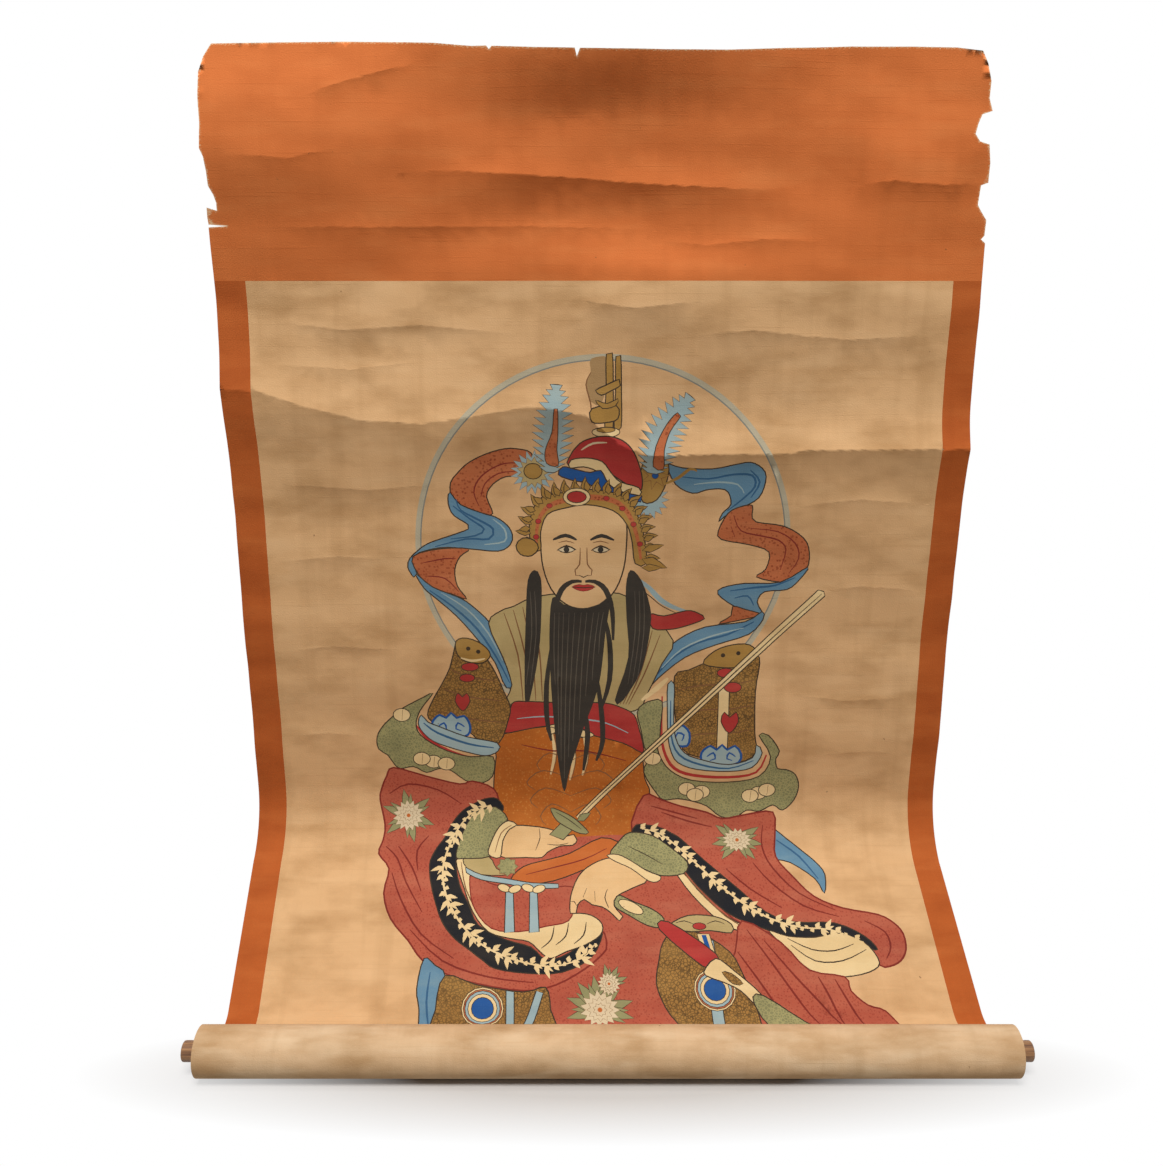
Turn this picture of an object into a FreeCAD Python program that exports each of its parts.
import FreeCAD, Part
import Sketcher
import math
import os

# Hanging scroll of mounted paper, hung by its top edge, with its lower part still rolled up.
#
# Seen from the side, the sheet leaves a roll that lies on a surface, runs along that surface,
# climbs a straight slope, bends upright and hangs flat up to its worn top edge. A stiff backing
# paper carries everything. Its front is covered with pasted papers, laid side by side: a coloured
# panel across the top, a strip down each side and the large picture sheet between them. The roll
# is wound on a round wooden rod with the picture side inwards. The pasted papers end inside the
# roll's outer turns, and the bare backing paper goes on round the rod.
#
# Millimetres. X runs to the viewer's right, Y away from the viewer and Z up.
# The origin is the middle of the top edge, on the back face of the backing paper.

SIZES = [
    ("sheet_width", 640.0, "width of the mounted sheet"),
    ("backing_thickness", 0.4, "backing paper"),
    ("facing_thickness", 0.4, "papers pasted on the front"),
    ("paste_clearance", 0.1, "between the backing and the papers pasted on it"),
    ("upright_height", 642.0, "flat hanging part, from the upper bend to the top edge"),
    ("heaven_height", 182.0, "coloured top panel, down from the top edge"),
    ("left_border_width", 26.0, "coloured strip down the left side"),
    ("right_border_width", 24.0, "coloured strip down the right side"),
    ("upper_bend_radius", 76.0, "bend from the slope to upright"),
    ("slope_run", 135.0, "straight part of the slope"),
    ("slope_angle", 34.7, "slope above the surface, in degrees"),
    ("lower_bend_radius", 25.0, "bend from the surface to the slope"),
    ("floor_run", 54.0, "paper that lies flat behind the roll"),
    ("sideways_drift", 6.6, "how far the roll sits to the right of the hanging sheet"),
    ("roll_diameter", 39.4, "outside of the rolled part"),
    ("roll_half_turns", 15, "half turns of backing paper in the roll"),
    ("facing_half_turns", 3, "half turns that the pasted papers still reach into the roll"),
    ("roller_diameter", 16.0, "wooden rod"),
    ("roller_overhang", 12.5, "rod standing out at each end of the roll"),
    ("roller_end_bevel", 1.0, "bevel of the rod's ends"),
    ("winding_clearance", 0.1, "between the rod and the first turn"),
    ("ridge_height", 5.0, "how far the old fold across the picture stands forward"),
    ("ridge_left", 358.0, "height of that fold above the upper bend, at the left edge"),
    ("ridge_right", 320.0, "height of that fold above the upper bend, at the right edge"),
    ("ridge_step_width", 107.0, "width over which the fold steps down from left to right"),
    ("ridge_foot", 70.0, "spread of the fold below its crest"),
    ("ridge_shoulder", 30.0, "spread of the fold above its crest"),
    ("lean_back", 10.0, "how far the top corners lean back"),
    ("curl_forward", 12.0, "how far the middle of the top edge curls forward"),
    ("curl_length", 95.0, "height of the part that leans or curls"),
    ("curl_spread", 150.0, "half width of the curl along the top edge"),
    ("top_edge_dip", 13.0, "how far the middle of the top edge is worn below its corners"),
]

# Worn edges of the top panel, as (distance in from the side, distance down from the top line).
LEFT_WEAR = [
    (10, 0), (5, 10), (1, 22), (1, 60), (0, 80), (3, 86), (4, 108), (9, 121), (9, 128),
    (0, 124.5), (-1, 138.5), (15, 138.6), (-1, 139.6),
]
RIGHT_WEAR = [
    (14, 5), (9, 15), (6, 28), (6, 41), (3, 50), (11, 53), (16, 68), (12, 74), (4, 76),
    (2, 90), (2, 105), (8, 107), (9, 122), (1, 133), (1, 147), (4, 149), (0, 152),
]
# Line of the top edge: (share of the half width, share of the dip below the corners).
TOP_WEAR = [
    (-1.1, 0.1), (-0.9, 0.0), (-0.6, 0.0), (-0.45, 0.15), (-0.3, 0.6), (-0.15, 0.88), (0.0, 1.0),
    (0.15, 1.0), (0.3, 0.82), (0.5, 0.5), (0.7, 0.3), (0.85, 0.3), (1.1, 0.7),
]
# Small tears in the top edge: (share of the half width, half width of the mouth, depth).
TOP_NICKS = [(-0.055, 1.5, 6.0), (-0.27, 2.0, 2.5)]

WASTE = 12.0  # how far the cutting shapes reach past the sheet
RELIEF_COLUMNS = 9  # points across the sheet that carry the relief's surface
RELIEF_ROWS = 22  # points up the sheet
RELIEF_EASE = 60.0  # height over which the relief starts, above the upper bend

doc = FreeCAD.newDocument("hanging_scroll")
sheet = doc.addObject("Spreadsheet::Sheet", "sizes")
for row, (alias, value, note) in enumerate(SIZES, start=1):
    sheet.set(f"A{row}", alias)
    sheet.set(f"B{row}", str(value))
    sheet.set(f"C{row}", note)
    sheet.setAlias(f"B{row}", alias)
doc.recompute()


def size(alias):
    """Value of a driving dimension."""
    return float(sheet.get(alias))


def point(y, z, x=0.0):
    return FreeCAD.Vector(x, y, z)


# The sheet's side view


def smooth_step(share):
    """0 below 0, 1 above 1 and a smooth rise between."""
    share = min(max(share, 0.0), 1.0)
    return share * share * (3 - 2 * share)


def relief(x, height):
    """How far the hanging part stands forward of a flat sheet, at a height above the upper bend."""
    step_down = 0.5 + 0.5 * math.tanh(x / size("ridge_step_width"))
    crest = size("ridge_left") + (size("ridge_right") - size("ridge_left")) * step_down
    spread = size("ridge_shoulder") if height > crest else size("ridge_foot")
    forward = size("ridge_height") * math.exp(-(((height - crest) / spread) ** 2))

    curl_foot = size("upright_height") - size("curl_length")
    in_curl = smooth_step((height - curl_foot) / size("curl_length"))
    middle = math.exp(-((x / size("curl_spread")) ** 2))
    forward += in_curl * (size("curl_forward") * middle - size("lean_back") * (1 - middle))
    return forward * smooth_step(height / RELIEF_EASE)


def winding_step():
    """Change of radius from one half turn to the next."""
    first_radius = size("roller_diameter") / 2 + size("winding_clearance") + size("backing_thickness")
    return (size("roll_diameter") / 2 - first_radius) / (size("roll_half_turns") - 1)


def steps():
    """The lower part of the sheet from its end in the roll to the upright part, all left turns."""
    found = []
    for k in reversed(range(int(size("roll_half_turns")))):
        found.append(("turn", size("roll_diameter") / 2 - k * winding_step(), 180.0))
    found.append(("run", size("floor_run")))
    found.append(("turn", size("lower_bend_radius"), size("slope_angle")))
    found.append(("run", size("slope_run")))
    found.append(("turn", size("upper_bend_radius"), 90.0 - size("slope_angle")))
    return found


def bearing(angle):
    """Unit vector in the side view, at an angle above the Y axis."""
    return point(math.cos(math.radians(angle)), math.sin(math.radians(angle)))


def walk(start, offset):
    """Follows the steps, offset to the left, and gives the edges and the corners of the line."""
    edges, corners = [], [start]
    place = start
    heading = -180.0 * size("roll_half_turns")
    for step in steps():
        left = bearing(heading + 90)
        if step[0] == "run":
            ahead = place + bearing(heading) * step[1]
            edges.append(Part.LineSegment(place + left * offset, ahead + left * offset).toShape())
        else:
            radius, turned = step[1], step[2]
            centre = place + left * radius
            spokes = [bearing(heading - 90 + turned * part) for part in (0, 0.5, 1)]
            edges.append(Part.Arc(*[centre + spoke * (radius - offset) for spoke in spokes]).toShape())
            heading += turned
            ahead = centre + spokes[-1] * radius
        place = ahead
        corners.append(place)
    return edges, corners


UPRIGHT_FOOT = point(
    relief(0, size("upright_height") - size("top_edge_dip")),
    size("top_edge_dip") - size("upright_height"),
)
ROLL_END = UPRIGHT_FOOT - walk(point(0, 0), 0)[1][-1]
CORNERS = walk(ROLL_END, 0)[1]
ROLL_BOTTOM, SLOPE_FOOT, SLOPE_START, SLOPE_TOP = CORNERS[-5:-1]
FIRST_TURN_RADIUS = size("roll_diameter") / 2 - (size("roll_half_turns") - 1) * winding_step()
ROLLER_CENTRE = ROLL_END + bearing(90 - 180 * size("roll_half_turns")) * FIRST_TURN_RADIUS
TOP_LINE = size("top_edge_dip")
HALF_WIDTH = size("sheet_width") / 2
REACH = HALF_WIDTH + size("sideways_drift") + WASTE


# Helpers that make objects of the document


def feature(name, shape):
    """A shape worked out above, as an object."""
    made = doc.addObject("Part::Feature", name)
    made.Shape = shape
    return made


def extrusion(name, base, direction, length):
    """Extrudes an object along a direction, by an expression over the spreadsheet."""
    made = doc.addObject("Part::Extrusion", name)
    made.Base = base
    made.DirMode = "Custom"
    made.Dir = direction
    made.setExpression("LengthFwd", length)
    made.Solid = True
    return made


def boolean(kind, name, base, tool):
    made = doc.addObject("Part::" + kind, name)
    made.Base = base
    made.Tool = tool
    return made


def side_view(name, near, far, half_turns):
    """Section of a paper between two offsets from the back face, from the roll to the bend."""
    first = int(size("roll_half_turns")) - half_turns
    outer = walk(ROLL_END, near)[0][first:]
    inner = walk(ROLL_END, far)[0][first:]
    end = Part.LineSegment(outer[-1].Vertexes[-1].Point, inner[-1].Vertexes[-1].Point).toShape()
    start = Part.LineSegment(inner[0].Vertexes[0].Point, outer[0].Vertexes[0].Point).toShape()
    wire = Part.Wire(Part.__sortEdges__(outer + [end] + inner + [start]))
    section = Part.Face(wire)
    section.translate(FreeCAD.Vector(-REACH, 0, 0))
    return feature(name, section)


def relief_surface():
    """Back face of the hanging part, as its stand forward over a width and a height."""
    across = 2 * REACH / (RELIEF_COLUMNS - 1)
    up = size("upright_height") / (RELIEF_ROWS - 1)
    forward = [
        [relief(column * across - REACH, row * up) for row in range(RELIEF_ROWS)]
        for column in range(RELIEF_COLUMNS)
    ]
    surface = Part.BSplineSurface()
    surface.interpolate(forward, -REACH, across, 0, up)
    return surface


def hanging_paper(name, near, thickness, left, right, bottom, top):
    """Paper of the hanging part between two sides and two heights above the upper bend."""
    back = relief_surface().toShape(left, right, bottom, top)
    back.rotate(FreeCAD.Vector(), FreeCAD.Vector(1, 0, 0), 90)
    back.translate(UPRIGHT_FOOT + point(-near, 0))
    return extrusion(name, feature(name + "_back", back), point(-1, 0), "sizes." + thickness)


def rolled_paper(name, near, thickness, half_turns, left, right):
    """Paper of the roll, the floor run, the slope and the two bends, cut to its drifting sides."""
    section = side_view(name + "_section", near, near + size(thickness), int(size(half_turns)))
    width = f"sizes.sheet_width + 2 * (sizes.sideways_drift + {WASTE})"
    whole = extrusion(name + "_whole", section, FreeCAD.Vector(1, 0, 0), width)
    return boolean("Common", name, whole, field(name + "_field", left, right))


def field(name, left, right):
    """Upright prism over a stretch of the sheet's width, which drifts sideways down the slope."""
    front = ROLL_BOTTOM.y - size("roll_diameter")
    back = UPRIGHT_FOOT.y + WASTE
    bottom = ROLL_BOTTOM.z - WASTE
    drift = size("sideways_drift")
    plan = [
        (left + drift, front), (right + drift, front), (right + drift, SLOPE_FOOT.y),
        (right, SLOPE_TOP.y), (right, back), (left, back), (left, SLOPE_TOP.y),
        (left + drift, SLOPE_FOOT.y),
    ]
    corners = [point(y, bottom, x) for x, y in plan]
    outline = feature(name + "_plan", Part.Face(Part.makePolygon(corners + corners[:1])))
    rise = UPRIGHT_FOOT.z + WASTE - bottom
    return extrusion(name, outline, FreeCAD.Vector(0, 0, 1), f"{rise:.9f}")


def wear(name, wire):
    """Cuts through the hanging part, front to back."""
    depth = size("lean_back") + size("curl_forward") + size("ridge_height") + WASTE
    face = Part.Face(wire)
    face.translate(point(UPRIGHT_FOOT.y - depth, 0))
    through = f"2 * (sizes.lean_back + sizes.curl_forward + sizes.ridge_height + {WASTE})"
    return extrusion(name, feature(name + "_outline", face), point(1, 0), through)


def side_wear(name, line, side):
    """Waste beyond the worn line of one side edge. side is -1 on the left and 1 on the right."""
    inside = [point(0, TOP_LINE - down, side * (HALF_WIDTH - inset)) for inset, down in line]
    outside_x = side * (HALF_WIDTH + WASTE)
    last = point(0, inside[-1].z, outside_x)
    first = point(0, TOP_LINE + WASTE, outside_x)
    above = point(0, TOP_LINE + WASTE, inside[0].x)
    return wear(name, Part.makePolygon(inside + [last, first, above, inside[0]]))


def top_wear():
    """Waste above the worn top edge."""
    dip = size("top_edge_dip")
    line = [point(0, TOP_LINE - drop * dip, share * HALF_WIDTH) for share, drop in TOP_WEAR]
    curve = Part.BSplineCurve()
    curve.interpolate(line)
    above = [point(0, TOP_LINE + WASTE, line[-1].x), point(0, TOP_LINE + WASTE, line[0].x)]
    rest = Part.makePolygon([line[-1]] + above + [line[0]])
    return wear("top_edge_wear", Part.Wire([curve.toShape()] + rest.Edges))


def nick(number, share, mouth, depth):
    """Narrow tear down from the top edge."""
    x = share * HALF_WIDTH
    edge = TOP_LINE - size("top_edge_dip")
    corners = [
        point(0, TOP_LINE + WASTE, x - mouth), point(0, edge, x - mouth), point(0, edge - depth, x),
        point(0, edge, x + mouth), point(0, TOP_LINE + WASTE, x + mouth),
    ]
    return wear(f"top_nick_{number}", Part.makePolygon(corners + corners[:1]))


# Papers

BACKING = "backing_thickness"
FACING = "facing_thickness"
PASTED_ON = size(BACKING) + size("paste_clearance")
PICTURE_LEFT = size("left_border_width") - HALF_WIDTH
PICTURE_RIGHT = HALF_WIDTH - size("right_border_width")
PICTURE_TOP = size("upright_height") - size("heaven_height")

worn_edges = doc.addObject("Part::MultiFuse", "worn_edges")
worn_edges.Shapes = [
    side_wear("left_edge_wear", LEFT_WEAR, -1),
    side_wear("right_edge_wear", RIGHT_WEAR, 1),
    top_wear(),
] + [nick(number, *sizes) for number, sizes in enumerate(TOP_NICKS, start=1)]


def top_paper(name, near, thickness):
    """Paper of the top panel's height and full width, with its worn edges cut away."""
    whole = hanging_paper(
        name + "_whole", near, thickness, -HALF_WIDTH, HALF_WIDTH, PICTURE_TOP, size("upright_height")
    )
    return boolean("Cut", name, whole, worn_edges)


backing_sheet = doc.addObject("Part::MultiFuse", "backing_sheet")
backing_sheet.Shapes = [
    rolled_paper("backing_rolled", 0, BACKING, "roll_half_turns", -HALF_WIDTH, HALF_WIDTH),
    hanging_paper("backing_hanging", 0, BACKING, -HALF_WIDTH, HALF_WIDTH, 0, PICTURE_TOP),
    top_paper("backing_top", 0, BACKING),
]
heaven_panel = top_paper("heaven_panel", PASTED_ON, FACING)


def facing(name, left, right):
    """Paper pasted on the front, from the foot of the top panel into the roll."""
    hanging = hanging_paper(name + "_hanging", PASTED_ON, FACING, left, right, 0, PICTURE_TOP)
    rolled = rolled_paper(name + "_rolled", PASTED_ON, FACING, "facing_half_turns", left, right)
    return boolean("Fuse", name, rolled, hanging)


left_border = facing("left_border", -HALF_WIDTH, PICTURE_LEFT)
picture_panel = facing("picture_panel", PICTURE_LEFT, PICTURE_RIGHT)
right_border = facing("right_border", PICTURE_RIGHT, HALF_WIDTH)

# Wooden rod: a round bar padded both ways from the middle of the roll, with bevelled ends

roller = doc.addObject("PartDesign::Body", "roller")
side_plane = [f for f in roller.Origin.OriginFeatures if f.Role == "YZ_Plane"][0]
bar_circle = roller.newObject("Sketcher::SketchObject", "bar_circle")
bar_circle.AttachmentSupport = [(side_plane, "")]
bar_circle.MapMode = "FlatFace"
middle, along = FreeCAD.Vector(0, 0, 0), FreeCAD.Vector(0, 0, 1)
bar_circle.addGeometry(Part.Circle(middle, along, size("roller_diameter") / 2))
bar_circle.addConstraint(Sketcher.Constraint("Coincident", 0, 3, -1, 1))
bar_circle.addConstraint(Sketcher.Constraint("Diameter", 0, size("roller_diameter")))
bar_circle.setExpression("Constraints[1]", "sizes.roller_diameter")
bar = roller.newObject("PartDesign::Pad", "bar")
bar.Profile = bar_circle
bar.Midplane = True
bar.setExpression("Length", "sizes.sheet_width + 2 * sizes.roller_overhang")
doc.recompute()
bevels = roller.newObject("PartDesign::Chamfer", "bevelled_ends")
bevels.Base = (bar, [f"Edge{n}" for n, edge in enumerate(bar.Shape.Edges, start=1) if edge.Closed])
bevels.setExpression("Size", "sizes.roller_end_bevel")
roller.Placement.Base = ROLLER_CENTRE
roller.setExpression("Placement.Base.x", "sizes.sideways_drift")

doc.recompute()

# Check and export

PIECES = [backing_sheet, heaven_panel, left_border, right_border, picture_panel, roller]
for made in doc.Objects:
    if "Invalid" in made.State or "Error" in made.State:
        raise RuntimeError(f"{made.Label} failed: {made.State}")
for made in PIECES:
    if made.Shape.isNull() or not made.Shape.isValid() or len(made.Shape.Solids) != 1:
        raise RuntimeError(f"{made.Label} is not one valid solid")

os.makedirs("parts", exist_ok=True)
for made in PIECES:
    made.Shape.exportStep(f"parts/{made.Label}.step")
    box = made.Shape.BoundBox
    print(f"{made.Label}: {made.Shape.Volume:.0f} mm3, X {box.XMin:.1f} to {box.XMax:.1f}, "
          f"Y {box.YMin:.1f} to {box.YMax:.1f}, Z {box.ZMin:.1f} to {box.ZMax:.1f}")
print(f"winding step {winding_step():.3f} mm for each half turn")
